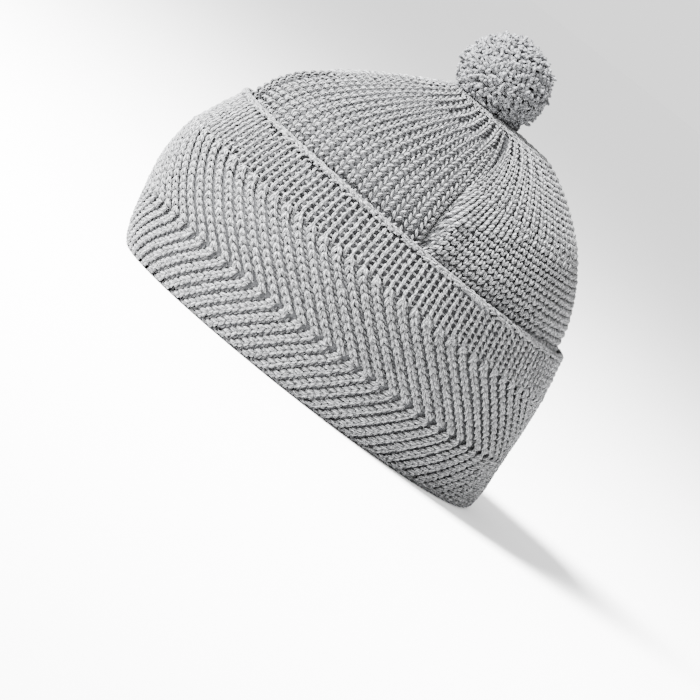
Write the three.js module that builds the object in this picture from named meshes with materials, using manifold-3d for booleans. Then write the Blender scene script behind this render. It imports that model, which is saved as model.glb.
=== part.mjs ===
// Knitted cap with a deep turned-up cuff and a yarn pompom.
// Millimetres, +Z up. The front of the cap faces -Y, its left side +X.
// The rim rests on z = 0 and the origin lies under the middle of the whole outline.
import * as THREE from 'three';
import { mergeVertices } from 'three/addons/utils/BufferGeometryUtils.js';
import Module from 'manifold-3d';

// Driving dimensions of the whole cap
const CAP_LENGTH = 212; // front to back over the cuff where it is fullest
const CAP_WIDTH = 177; // side to side at the same height
const BACK_FULLNESS = 4; // how much broader each side is towards the back
const CROWN_HEIGHT = 153.5; // rim to the top of the dome's outline, where the pompom is tied on

// The knitted fabric
const KNIT = 3.6; // one layer, measured on a rib
const FURROW = 1.5; // depth between two ribs
const LAYER_GAP = 0.6; // between the cuff and the layer inside it
const SEAT_GAP = 0.3; // where one piece sits on another

// The turned-up cuff
const CUFF_HEIGHT = 87; // fold to edge, at the middle of front and back
const CUFF_RAKE = 3.5; // the edge stands this much higher in front, lower behind
const CUFF_RIBS = 80;
const CORNER_HEIGHT = 28; // sharp corner of the zigzag
const BEND_HEIGHT = 63; // soft bend of the zigzag
const LOWER_DRIFT = 35; // how far a rib runs sideways below the corner
const MIDDLE_DRIFT = 38; // between corner and bend
const UPPER_DRIFT = 1.5; // between bend and edge
const FOOT_HEIGHT = 10; // doubled knit above the fold
const REST_WIDTH = 3.2; // flat strip that the cap rests on
const FOLD_ROUND = 3.6; // height over which the fold rounds into the sides

// The crown
const CROWN_RIBS = 40;
const DART_DEPTH = 2.6; // crease of each dart
const LIP_RISE = 2.6; // puffed ribs beside the crease
const DART_HEIGHT = 40; // how far the darts reach above the cuff
const RIBBED_SPAN = 81; // degrees between the darts on either side of a ribbed quarter

// The pompom
const POMPOM_DIAMETER = 44;
const POMPOM_SQUASH = 2.6; // how far its underside is pressed flat
const POMPOM_SINK = 7.6; // how deep it is tied into the gathered top
const POMPOM_FORWARD = 4.5; // it sits this far in front of the middle
const SHOULDER_WIDTH = 1.2; // from the pompom's side to the highest ring of the dome
const SHOULDER_DROP = 1.6; // how far that ring lies below the crown's full height
const LOCK_COUNT = 42;
const LOCK_LENGTH = 4.5; // how far a lock stands out of the core
const LOCK_WIDTH = 11;

// Outline of the cuff: rise is a share of the cuff's height, reach and lean are shares of
// half the cap's length or width. Lean moves a section towards the back.
const CUFF_OUTLINE = [
  { rise: 0.0, reach: 0.955, lean: 0.045 },
  { rise: 0.13, reach: 0.98, lean: 0.025 },
  { rise: 0.3, reach: 0.991, lean: 0.0 },
  { rise: 0.5, reach: 1.0, lean: -0.022 },
  { rise: 0.72, reach: 0.982, lean: -0.027 },
  { rise: 0.88, reach: 0.943, lean: -0.016 },
  { rise: 1.0, reach: 0.908, lean: -0.004 },
];

// Outline of the dome above the cuff: rise is a share of the dome's height, reach a share of
// its half length where it leaves the cuff, lean a share of half the cap's length.
const DOME_OUTLINE = [
  { rise: 0.0, reach: 1.0, lean: -0.004 },
  { rise: 0.11, reach: 0.985, lean: -0.006 },
  { rise: 0.28, reach: 0.927, lean: -0.004 },
  { rise: 0.45, reach: 0.831, lean: 0.014 },
  { rise: 0.62, reach: 0.7, lean: 0.036 },
  { rise: 0.79, reach: 0.528, lean: 0.052 },
  { rise: 0.92, reach: 0.36, lean: 0.05 },
  { rise: 1.0, reach: 0.25, lean: 0.03 },
];

const TURN = 2 * Math.PI;
const pompomSeat = CROWN_HEIGHT - POMPOM_SINK;
const pompomCentre = pompomSeat + POMPOM_DIAMETER / 2 - POMPOM_SQUASH;
const HEATHER = '#a9aaac';

// Smooth value between the rows of an outline table
function readOutline(table, rise, column) {
  const clamped = Math.min(Math.max(rise, 0), 1);
  let row = 0;
  while (row < table.length - 2 && clamped > table[row + 1].rise) row += 1;
  const before = table[Math.max(row - 1, 0)];
  const low = table[row];
  const high = table[row + 1];
  const after = table[Math.min(row + 2, table.length - 1)];
  const span = high.rise - low.rise;
  const t = (clamped - low.rise) / span;
  const slopeLow = ((high[column] - before[column]) / (high.rise - before.rise)) * span;
  const slopeHigh = ((after[column] - low[column]) / (after.rise - low.rise)) * span;
  return (
    (2 * t ** 3 - 3 * t ** 2 + 1) * low[column] +
    (t ** 3 - 2 * t ** 2 + t) * slopeLow +
    (3 * t ** 2 - 2 * t ** 3) * high[column] +
    (t ** 3 - t ** 2) * slopeHigh
  );
}

// Point of an oval section. The turn is evened out so that equal steps of it cover equal
// lengths of the oval, which keeps every rib as wide as its neighbour.
function ovalPoint(turn, halfLength, halfWidth, lean, height) {
  const flatness = (CAP_LENGTH - CAP_WIDTH) / (CAP_LENGTH + CAP_WIDTH);
  const angle = turn - 0.5 * flatness * Math.sin(2 * turn);
  const fullness = 1 + ((2 * BACK_FULLNESS) / CAP_WIDTH) * Math.sin(angle);
  return new THREE.Vector3(
    halfWidth * fullness * Math.cos(angle),
    lean + halfLength * Math.sin(angle),
    height,
  );
}

// Outer face of the cuff at a height, moved inwards by a depth
function cuffPoint(turn, height, inset) {
  const rise = height / CUFF_HEIGHT;
  const reach = readOutline(CUFF_OUTLINE, rise, 'reach');
  const lean = (readOutline(CUFF_OUTLINE, rise, 'lean') * CAP_LENGTH) / 2;
  return ovalPoint(
    turn,
    (reach * CAP_LENGTH) / 2 - inset,
    (reach * CAP_WIDTH) / 2 - inset,
    lean,
    height,
  );
}

// Height of the cuff's edge around the cap
function edgeShift(turn) {
  return -CUFF_RAKE * Math.sin(turn);
}

// Sideways run of a rib down the cuff, in radians of turn. Seen from outside, positive
// runs to the right.
function zigzagTurn(height) {
  const radius = (CAP_LENGTH + CAP_WIDTH) / 4;
  const upper = (CUFF_HEIGHT - height) / (CUFF_HEIGHT - BEND_HEIGHT);
  const middle = (BEND_HEIGHT - height) / (BEND_HEIGHT - CORNER_HEIGHT);
  const lower = (CORNER_HEIGHT - height) / CORNER_HEIGHT;
  const clamp = THREE.MathUtils.clamp;
  const drift =
    UPPER_DRIFT * clamp(upper, 0, 1) +
    MIDDLE_DRIFT * clamp(middle, 0, 1) -
    LOWER_DRIFT * clamp(lower, 0, 1);
  return drift / radius;
}

// Solid from closed rings of points: each ring is joined to the next. The last is joined to
// the first, a number of columns further on, or both are closed by a pole.
function solidFromRings(rings, { poles = null, slip = 0 }) {
  const columns = rings[0].length;
  const points = rings.flat();
  const faces = [];
  const at = (ring, column) => ring * columns + (column % columns);
  const quad = (low, high, column, shift = 0) => {
    const far = column + shift + columns;
    faces.push(at(low, column), at(low, column + 1), at(high, far + 1));
    faces.push(at(low, column), at(high, far + 1), at(high, far));
  };
  for (let ring = 0; ring < rings.length - 1; ring += 1) {
    for (let column = 0; column < columns; column += 1) quad(ring, ring + 1, column);
  }
  for (let column = 0; column < columns; column += 1) {
    if (poles) {
      faces.push(points.length, at(0, column + 1), at(0, column));
      faces.push(points.length + 1, at(rings.length - 1, column), at(rings.length - 1, column + 1));
    } else {
      quad(rings.length - 1, 0, column, slip);
    }
  }
  const all = poles ? points.concat(poles) : points;
  const geometry = new THREE.BufferGeometry().setFromPoints(all);
  geometry.setIndex(faces);
  return geometry;
}

// One ring of points, from a function of the turn and of whether a rib or furrow is there
function ringOf(ribs, pointAt) {
  const columns = 2 * ribs;
  return Array.from({ length: columns }, (_, column) =>
    pointAt((column / columns) * TURN, column % 2 === 0),
  );
}

// The cuff: ribs that run in a zigzag down its outer face, round the fold and a little way
// up inside, where the foot doubles the fabric
function makeCuff() {
  const foot = 2 * KNIT + LAYER_GAP;
  const restOutside = (foot - REST_WIDTH) / 2;
  const restInside = restOutside + REST_WIDTH;
  const columnTurn = TURN / (2 * CUFF_RIBS);
  const insideTurn = zigzagTurn(0);
  const steps = (from, to, count) =>
    Array.from({ length: count }, (_, step) => from + ((to - from) * step) / count);

  // The edge is raked, and the rows below it follow less and less
  const raked = (turn, height, inset) =>
    cuffPoint(turn, height + edgeShift(turn) * (height / CUFF_HEIGHT) ** 2, inset);
  const ribbed = (height) =>
    ringOf(CUFF_RIBS, (turn, rib) => raked(turn + zigzagTurn(height), height, rib ? 0 : FURROW));
  const plain = (height, inset) =>
    ringOf(CUFF_RIBS, (turn) => raked(turn + insideTurn, height, inset));

  const edge = CUFF_HEIGHT - KNIT / 3;
  const outside = [
    edge,
    ...steps(CUFF_HEIGHT - KNIT * 2, BEND_HEIGHT, 2),
    ...steps(BEND_HEIGHT, CORNER_HEIGHT, 3),
    ...steps(CORNER_HEIGHT, FOLD_ROUND, 3),
    FOLD_ROUND,
  ].map(ribbed);
  const fold = [
    plain(FOLD_ROUND / 3, restOutside / 3),
    plain(0, restOutside),
    plain(0, restInside),
    plain(FOLD_ROUND, foot),
    plain(FOOT_HEIGHT, foot),
    plain(FOOT_HEIGHT, KNIT),
  ];
  const inside = [plain(CUFF_HEIGHT / 2, KNIT), plain(edge, KNIT), plain(CUFF_HEIGHT, KNIT / 2)];
  const slip = Math.round(-insideTurn / columnTurn);
  return solidFromRings([...inside.reverse(), ...fold.reverse(), ...outside.reverse()], { slip });
}

// Radius of the pompom at a height
function pompomRadiusAt(height) {
  return Math.sqrt((POMPOM_DIAMETER / 2) ** 2 - (pompomCentre - height) ** 2);
}

// Depth of a dart's crease and the puffed rib beside it, positive outwards, with
// climb as the share of the dart's height above the cuff
function dartRelief(turn, climb) {
  const half = TURN / 2;
  const step = TURN / (2 * CROWN_RIBS);
  const ribbed = THREE.MathUtils.degToRad(RIBBED_SPAN);
  // One dart stands at 0, one a ribbed quarter before it, and two more half a turn further on
  const wrapped = ((turn + (half - ribbed) / 2) % half) - (half - ribbed) / 2;
  const offset = wrapped > (half - ribbed) / 2 ? wrapped - (half - ribbed) : wrapped;
  const fade = THREE.MathUtils.smoothstep(climb, 0, 0.15) * (1 - THREE.MathUtils.smoothstep(climb, 0.6, 1));
  const crease = Math.max(0, 1 - Math.abs(offset) / step);
  const lip = Math.max(0, 1 - Math.abs(offset + 1.5 * step) / (1.5 * step));
  return fade * (LIP_RISE * lip - DART_DEPTH * crease);
}

// The crown: a straight layer inside the cuff, then the ribbed dome with its four darts and
// the dimple where it is gathered
function makeCrown() {
  const inset = KNIT + LAYER_GAP;
  const mouth = readOutline(CUFF_OUTLINE, 1, 'reach');
  const baseLength = (mouth * CAP_LENGTH) / 2 - inset;
  const baseWidth = (mouth * CAP_WIDTH) / 2 - inset;
  const dome = CROWN_HEIGHT - CUFF_HEIGHT;

  // Dome surface, moved out along its own slope by a relief
  const domePoint = (turn, rise, relief) => {
    const step = 0.02;
    const reach = (share) => readOutline(DOME_OUTLINE, share, 'reach');
    const run = (reach(Math.max(rise - step, 0)) - reach(Math.min(rise + step, 1))) * baseLength;
    const climb = (Math.min(rise + step, 1) - Math.max(rise - step, 0)) * dome;
    const slope = Math.atan2(run, climb);
    const out = relief * Math.cos(slope);
    return ovalPoint(
      turn,
      reach(rise) * baseLength + out,
      reach(rise) * baseWidth + out,
      (readOutline(DOME_OUTLINE, rise, 'lean') * CAP_LENGTH) / 2,
      CUFF_HEIGHT + rise * dome + relief * Math.sin(slope),
    );
  };
  const domeRing = (rise, depth) =>
    ringOf(CROWN_RIBS, (turn, rib) => {
      const ribbed = depth === 0 && !rib ? -FURROW * Math.min(1, rise * 12) : 0;
      const dart = dartRelief(turn, (rise * dome) / DART_HEIGHT);
      return domePoint(turn, rise, ribbed + dart - depth);
    });
  const wallRing = (height, depth) =>
    ringOf(CROWN_RIBS, (turn) => cuffPoint(turn, height, inset + depth));
  // The gathered top is drawn down round the underside of the pompom
  const cupRing = (height, spare, depth = 0) => {
    const radius = pompomRadiusAt(height) + spare;
    return ringOf(
      CROWN_RIBS,
      (turn) =>
        new THREE.Vector3(
          radius * Math.cos(turn),
          radius * Math.sin(turn) - POMPOM_FORWARD,
          height - SEAT_GAP - depth,
        ),
    );
  };

  const seat = FOOT_HEIGHT + SEAT_GAP;
  const outerRises = [0, 0.04, 0.16, 0.28, 0.4, 0.52, 0.64, 0.76, 0.86, 0.94];
  const outside = [
    wallRing(seat, 0),
    wallRing(CUFF_HEIGHT / 2, 0),
    ...outerRises.map((rise) => domeRing(rise, 0)),
    cupRing(CROWN_HEIGHT - SHOULDER_DROP, SHOULDER_WIDTH),
    cupRing(pompomSeat + POMPOM_SINK / 2, SEAT_GAP),
    cupRing(pompomSeat, 0),
  ];
  const innerRises = [0.92, 0.76, 0.52, 0.28, 0.04];
  const inside = [
    cupRing(pompomSeat, 0, KNIT),
    ...innerRises.map((rise) => domeRing(rise, KNIT)),
    wallRing(CUFF_HEIGHT / 2, KNIT),
    wallRing(seat, KNIT),
  ];
  const topPole = new THREE.Vector3(0, -POMPOM_FORWARD, pompomSeat - SEAT_GAP);
  const underPole = topPole.clone().setZ(topPole.z - KNIT);
  return solidFromRings([...inside, ...outside], { poles: [underPole, topPole] });
}

// Manifold solid of a three.js geometry, and back
function toSolid(wasm, geometry, matrix) {
  const placed = geometry.clone();
  if (matrix) placed.applyMatrix4(matrix);
  placed.deleteAttribute('normal');
  placed.deleteAttribute('uv');
  const merged = mergeVertices(placed, 1e-4);
  return new wasm.Manifold(
    new wasm.Mesh({
      numProp: 3,
      vertProperties: new Float32Array(merged.attributes.position.array),
      triVerts: new Uint32Array(merged.index.array),
    }),
  );
}

function toGeometry(solid) {
  const mesh = solid.getMesh();
  const geometry = new THREE.BufferGeometry();
  geometry.setAttribute('position', new THREE.BufferAttribute(mesh.vertProperties, 3));
  geometry.setIndex(new THREE.BufferAttribute(mesh.triVerts, 1));
  return geometry;
}

// The pompom: a core with locks of yarn fused to it all round, pressed flat underneath
function makePompom(wasm) {
  const core = new THREE.IcosahedronGeometry(POMPOM_DIAMETER / 2 - LOCK_LENGTH, 1);
  let ball = toSolid(wasm, core);
  const tip = LOCK_WIDTH / 4;
  const tipReach = Math.sqrt((POMPOM_DIAMETER / 2) ** 2 - tip ** 2);
  const lock = new THREE.CylinderGeometry(tip, LOCK_WIDTH / 2, LOCK_LENGTH * 2, 5);
  const up = new THREE.Vector3(0, 1, 0);
  const goldenTurn = Math.PI * (3 - Math.sqrt(5));
  for (let index = 0; index < LOCK_COUNT; index += 1) {
    const height = 1 - (2 * (index + 0.5)) / LOCK_COUNT;
    const ring = Math.sqrt(1 - height ** 2);
    const out = new THREE.Vector3(
      ring * Math.cos(index * goldenTurn),
      ring * Math.sin(index * goldenTurn),
      height,
    );
    const place = new THREE.Matrix4().compose(
      out.clone().multiplyScalar(tipReach - LOCK_LENGTH),
      new THREE.Quaternion().setFromUnitVectors(up, out),
      new THREE.Vector3(1, 1, 1),
    );
    ball = ball.add(toSolid(wasm, lock, place));
  }
  const cutter = new THREE.BoxGeometry(2 * POMPOM_DIAMETER, 2 * POMPOM_DIAMETER, POMPOM_DIAMETER);
  const below = new THREE.Matrix4().makeTranslation(0, 0, POMPOM_SQUASH - POMPOM_DIAMETER);
  return toGeometry(ball.subtract(toSolid(wasm, cutter, below)));
}

function knitted(name, geometry, colour) {
  geometry.computeVertexNormals();
  const yarn = new THREE.MeshStandardMaterial({ color: colour, roughness: 0.92, metalness: 0 });
  const mesh = new THREE.Mesh(geometry, yarn);
  mesh.name = name;
  return mesh;
}

const wasm = await Module();
wasm.setup();

const group = new THREE.Group();
group.add(knitted('cuff', makeCuff(), HEATHER));
group.add(knitted('crown', makeCrown(), HEATHER));

const pompom = knitted('pompom', makePompom(wasm), '#9c9da0');
pompom.position.set(0, -POMPOM_FORWARD, pompomCentre);
group.add(pompom);

const outline = new THREE.Box3().setFromObject(group);
group.position.y = -(outline.min.y + outline.max.y) / 2;
group.updateMatrixWorld(true);

export default group;
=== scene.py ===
# %% [markdown]
# # A knitted cap with a turned-up cuff and a pompom
#
# The real cap is knitted in one heather-grey yarn. Its crown is ribbed and gathered under a
# pompom, and its deep cuff is turned up on the outside, with ribs that run in a zigzag.
# What makes it look knitted is the yarn itself, so every stitch that shows is made of a few
# short tapered lengths of yarn, called legs, laid on the curved fabric. They are worked out
# with arrays, thousands at a time, and joined into a few meshes.
#
# Lengths are in millimetres, turned into metres when a mesh is made. A turn is an angle round
# the cap: 0 is its left side, -90 degrees its front. "Right" is right as seen from outside.

# %% Load the fixed frame
import math

import bpy
import numpy as np
from mathutils import Matrix, Vector


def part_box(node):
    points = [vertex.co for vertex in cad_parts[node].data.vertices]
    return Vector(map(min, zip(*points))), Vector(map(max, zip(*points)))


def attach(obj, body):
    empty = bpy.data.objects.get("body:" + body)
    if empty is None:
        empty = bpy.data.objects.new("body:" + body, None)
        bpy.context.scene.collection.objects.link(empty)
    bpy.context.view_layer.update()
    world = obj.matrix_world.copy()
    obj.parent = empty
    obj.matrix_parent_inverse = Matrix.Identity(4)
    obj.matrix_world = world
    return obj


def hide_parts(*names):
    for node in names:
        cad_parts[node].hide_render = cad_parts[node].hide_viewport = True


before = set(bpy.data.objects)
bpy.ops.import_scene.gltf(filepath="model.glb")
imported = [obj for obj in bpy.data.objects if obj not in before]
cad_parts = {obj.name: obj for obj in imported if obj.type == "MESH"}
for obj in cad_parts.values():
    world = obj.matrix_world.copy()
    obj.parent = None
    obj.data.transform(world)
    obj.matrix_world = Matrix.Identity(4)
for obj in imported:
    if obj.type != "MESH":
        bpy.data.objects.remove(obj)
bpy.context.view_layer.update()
rng = np.random.default_rng(12)
MM = 0.001
TURN = 2 * math.pi
print("frame nodes:", sorted(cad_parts))

# %% [markdown]
# ## Driving sizes
#
# The cap's own sizes come first, and everything below is worked out from them. The height of
# the crown, the pompom's middle and the cap's place front to back are read from the frame.

# %% Sizes of the cap
CAP_LENGTH = 212.0
CAP_WIDTH = 177.0
BACK_FULLNESS = 4.0
KNIT = 3.6
LAYER_GAP = 0.6
CUFF_HEIGHT = 87.0
CUFF_RAKE = 3.5
CUFF_RIBS = 80
CORNER_HEIGHT = 28.0
BEND_HEIGHT = 63.0
REST_WIDTH = 3.2
FOLD_ROUND = 3.6
FOOT_HEIGHT = 10.0
POMPOM_FORWARD = 4.5

pompom_low, pompom_high = (np.array(corner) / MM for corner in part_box("pompom"))
POMPOM_RADIUS = (pompom_high[0] - pompom_low[0]) / 2
pompom_centre = np.array(
    [0.0, (pompom_low[1] + pompom_high[1]) / 2, pompom_high[2] - POMPOM_RADIUS]
)
MIDDLE_Y = pompom_centre[1] + POMPOM_FORWARD
SHOULDER_DROP = 1.9  # the dome's outline, carried on, ends this much above the shoulder
CROWN_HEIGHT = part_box("crown")[1].z / MM + SHOULDER_DROP
pompom_seat = pompom_low[2]
print(f"crown {CROWN_HEIGHT:.1f} mm high, pompom middle {pompom_centre.round(1)} mm")

# %% Outlines of the cuff and the dome
COLUMNS = [("rise", float), ("reach", float), ("lean", float)]
CUFF_OUTLINE = np.array(
    [
        (0.00, 0.955, 0.045),
        (0.13, 0.980, 0.025),
        (0.30, 0.991, 0.000),
        (0.50, 1.000, -0.022),
        (0.72, 0.982, -0.027),
        (0.88, 0.943, -0.016),
        (1.00, 0.908, -0.004),
    ],
    COLUMNS,
)
DOME_OUTLINE = np.array(
    [
        (0.00, 1.000, -0.004),
        (0.11, 0.985, -0.006),
        (0.28, 0.927, -0.004),
        (0.45, 0.831, 0.014),
        (0.62, 0.700, 0.036),
        (0.79, 0.528, 0.052),
        (0.92, 0.360, 0.050),
        (1.00, 0.250, 0.030),
    ],
    COLUMNS,
)


def read_outline(table, column, rise):
    """Smooth value between the rows of an outline table."""
    rises, values = table["rise"], table[column]
    rise = np.clip(rise, 0, 1)
    low = np.clip(np.searchsorted(rises, rise) - 1, 0, len(rises) - 2)
    high = low + 1
    before = np.maximum(low - 1, 0)
    after = np.minimum(high + 1, len(rises) - 1)
    span = rises[high] - rises[low]
    slope_low = (values[high] - values[before]) / (rises[high] - rises[before]) * span
    slope_high = (values[after] - values[low]) / (rises[after] - rises[low]) * span
    t = (rise - rises[low]) / span
    return (
        (2 * t**3 - 3 * t**2 + 1) * values[low]
        + (t**3 - 2 * t**2 + t) * slope_low
        + (3 * t**2 - 2 * t**3) * values[high]
        + (t**3 - t**2) * slope_high
    )


def oval_point(turn, half_length, half_width, lean, height, fullness=1.0):
    """Point of an oval section, with equal turns for equal lengths of the oval."""
    flatness = (CAP_LENGTH - CAP_WIDTH) / (CAP_LENGTH + CAP_WIDTH)
    angle = turn - 0.5 * flatness * np.sin(2 * turn)
    full = 1 + fullness * 2 * BACK_FULLNESS / CAP_WIDTH * np.sin(angle)
    across = half_width * full * np.cos(angle)
    along = lean + half_length * np.sin(angle)
    return np.stack(np.broadcast_arrays(across, along, height), -1)


print(f"cuff reach at the rim {read_outline(CUFF_OUTLINE, 'reach', 0.0):.3f}")

# %% [markdown]
# ## The two fabrics as curved sheets
#
# A place on the cuff is given by a turn and by its distance up the knitted rows, counted
# from the middle of the fold at the rim: above 0 the fabric is outside, below 0 it goes up
# inside. The crown is given by a turn and the distance climbed from the cuff's edge.
# With these two functions a stitch can be drawn flat, as on paper, and laid on the cap.

# %% The cuff as a sheet
FOOT = 2 * KNIT + LAYER_GAP
FOLD_SIDE = (FOOT - REST_WIDTH) / 2
FOLD_ARC = math.pi / 2 * math.hypot(FOLD_SIDE, FOLD_ROUND) / math.sqrt(2)
ROWS_BEFORE_WALL = REST_WIDTH / 2 + FOLD_ARC - FOLD_ROUND
LIP = KNIT / 2
TOP_ROW = CUFF_HEIGHT - LIP + ROWS_BEFORE_WALL


def edge_shift(turn):
    """Height of the cuff's edge round the cap: higher in front, lower behind."""
    return -CUFF_RAKE * np.sin(turn)


def cuff_place(turn, rows):
    """Point of the cuff at a turn and a distance up the rows from the fold."""
    gone = np.abs(rows) - REST_WIDTH / 2
    bend = np.clip(gone / FOLD_ARC, 0, 1) * math.pi / 2
    height = FOLD_ROUND * (1 - np.cos(bend)) + np.maximum(gone - FOLD_ARC, 0)
    sideways = np.minimum(np.abs(rows), REST_WIDTH / 2) + FOLD_SIDE * np.sin(bend)
    inset = FOOT / 2 - np.sign(rows) * sideways
    roll = np.maximum(height - (CUFF_HEIGHT - LIP), 0) / LIP
    height = np.minimum(height, CUFF_HEIGHT - LIP) + LIP * np.sin(roll)
    inset = inset + LIP * (1 - np.cos(roll))
    height = height + edge_shift(turn) * (height / CUFF_HEIGHT) ** 2
    rise = height / CUFF_HEIGHT
    reach = read_outline(CUFF_OUTLINE, "reach", rise)
    lean = read_outline(CUFF_OUTLINE, "lean", rise) * CAP_LENGTH / 2
    return oval_point(
        turn,
        reach * CAP_LENGTH / 2 - inset,
        reach * CAP_WIDTH / 2 - inset,
        lean,
        height,
    )


print(f"the cuff has {TOP_ROW:.1f} mm of fabric outside")

# %% The crown as a sheet
base_length = CUFF_OUTLINE["reach"][-1] * CAP_LENGTH / 2 - KNIT - LAYER_GAP
base_width = CUFF_OUTLINE["reach"][-1] * CAP_WIDTH / 2 - KNIT - LAYER_GAP
dome_height = CROWN_HEIGHT - CUFF_HEIGHT
HIGHEST_RING = 0.94


def cup_rows():
    """Rings where the gathered top turns down under the pompom."""
    rows = []
    for share, spare in [(1.0, 1.2), (0.75, 0.7), (0.4, 0.3), (0.02, 0.0)]:
        height = pompom_seat + share * (CROWN_HEIGHT - SHOULDER_DROP - pompom_seat)
        radius = math.sqrt(POMPOM_RADIUS**2 - (pompom_centre[2] - height) ** 2) + spare
        rows.append((radius, radius, -POMPOM_FORWARD, height, 0.0))
    return rows


def crown_profile():
    """Table of rings up the crown with the distance climbed to each of them."""
    wall = np.linspace(-10, -1, 6)
    rises = np.linspace(0, HIGHEST_RING, 48)
    rows = []
    for height in CUFF_HEIGHT + wall:
        rise = height / CUFF_HEIGHT
        reach = read_outline(CUFF_OUTLINE, "reach", rise)
        lean = read_outline(CUFF_OUTLINE, "lean", rise) * CAP_LENGTH / 2
        inset = KNIT + LAYER_GAP
        rows.append(
            (reach * CAP_LENGTH / 2 - inset, reach * CAP_WIDTH / 2 - inset, lean, height, 1)
        )
    for rise in rises:
        reach = read_outline(DOME_OUTLINE, "reach", rise)
        lean = read_outline(DOME_OUTLINE, "lean", rise) * CAP_LENGTH / 2
        height = CUFF_HEIGHT + rise * dome_height
        rows.append((reach * base_length, reach * base_width, lean, height, 1))
    rows = np.array(rows + cup_rows(), float)
    steps = np.hypot(np.diff(rows[:, :2].mean(1)), np.diff(rows[:, 3]))
    climb = np.concatenate([[0], np.cumsum(steps)])
    climb -= climb[len(wall)]
    fine = np.linspace(climb[0], climb[-1], 400)
    table = np.stack([np.interp(fine, climb, column) for column in rows.T], 1)
    kernel = np.hanning(13)[1:-1]
    padded = np.pad(table, ((5, 5), (0, 0)), mode="reflect", reflect_type="odd")
    smooth = [np.convolve(c, kernel / kernel.sum(), "valid") for c in padded.T]
    return fine, np.stack(smooth, 1), float(climb[-len(cup_rows())])


climb_steps, crown_rings, SHOULDER_CLIMB = crown_profile()
TOP_CLIMB = climb_steps[-1]


def crown_ring(climb):
    """Half length, half width, lean, height and fullness of the crown at a climb."""
    return [np.interp(climb, climb_steps, column) for column in crown_rings.T]


def crown_place(turn, climb):
    """Point of the crown at a turn and a distance climbed from the cuff's edge."""
    return oval_point(turn, *crown_ring(climb))


print(f"the crown climbs {SHOULDER_CLIMB:.0f} mm to its shoulder, {TOP_CLIMB:.0f} in all")

# %% [markdown]
# ## Yarn laid on a sheet
#
# One leg of a knitted stitch is a short length of yarn, fat in the middle and tucked in at
# both ends. A curve with a bevel would draw it, but tens of thousands of curves are slow.
# Here rings of points are set round every leg at once and joined with arrays of faces.
# Each leg also carries a UV map, which counts millimetres along the yarn and shares round it,
# so that the material can draw the twist, and a tint that makes it a little lighter or darker.

# %% Sheet normals and meshes from arrays
NUDGE = 0.2
TURN_NUDGE = 0.002
FLOOR_GAP = 0.02


def on_sheet(place, turn, row, lift):
    """Points at a height above a sheet, with the sheet's outward direction there."""
    point = place(turn, row)
    along_turn = place(turn + TURN_NUDGE, row) - point
    along_row = place(turn, row + NUDGE) - place(turn, row - NUDGE)
    outwards = np.cross(along_turn, along_row)
    outwards /= np.linalg.norm(outwards, axis=-1, keepdims=True) + 1e-12
    return point + outwards * np.asarray(lift)[..., None], outwards


def make_mesh(name, points, faces, material, uvs, tint=0.0):
    """One object from points in millimetres and lists of same-sized faces."""
    placed = points.reshape(-1, 3) + np.array([0, MIDDLE_Y, 0])
    placed[:, 2] = np.maximum(placed[:, 2], FLOOR_GAP)
    mesh = bpy.data.meshes.new(name)
    mesh.vertices.add(len(placed))
    mesh.vertices.foreach_set("co", (placed * MM).ravel().astype(np.float32))
    corners = np.concatenate([block.ravel() for block in faces])
    sizes = np.concatenate([np.full(len(block), block.shape[1]) for block in faces])
    mesh.loops.add(len(corners))
    mesh.loops.foreach_set("vertex_index", corners.astype(np.int32))
    mesh.polygons.add(len(sizes))
    starts = np.concatenate([[0], np.cumsum(sizes)[:-1]])
    mesh.polygons.foreach_set("loop_start", starts.astype(np.int32))
    mesh.polygons.foreach_set("use_smooth", np.full(len(sizes), True))
    layer = mesh.uv_layers.new(name="yarn_run")
    layer.uv.foreach_set("vector", uvs.reshape(-1).astype(np.float32))
    shade = mesh.attributes.new("tint", "FLOAT", "POINT")
    shade.data.foreach_set("value", np.zeros(len(placed)) + tint)
    mesh.update(calc_edges=True)
    mesh.materials.append(material)
    made = bpy.data.objects.new(name, mesh)
    bpy.context.scene.collection.objects.link(made)
    print(f"{name}: {int((sizes - 2).sum())} triangles")
    return made


# %% Tapered lengths of yarn
SIDES = 5


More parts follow.
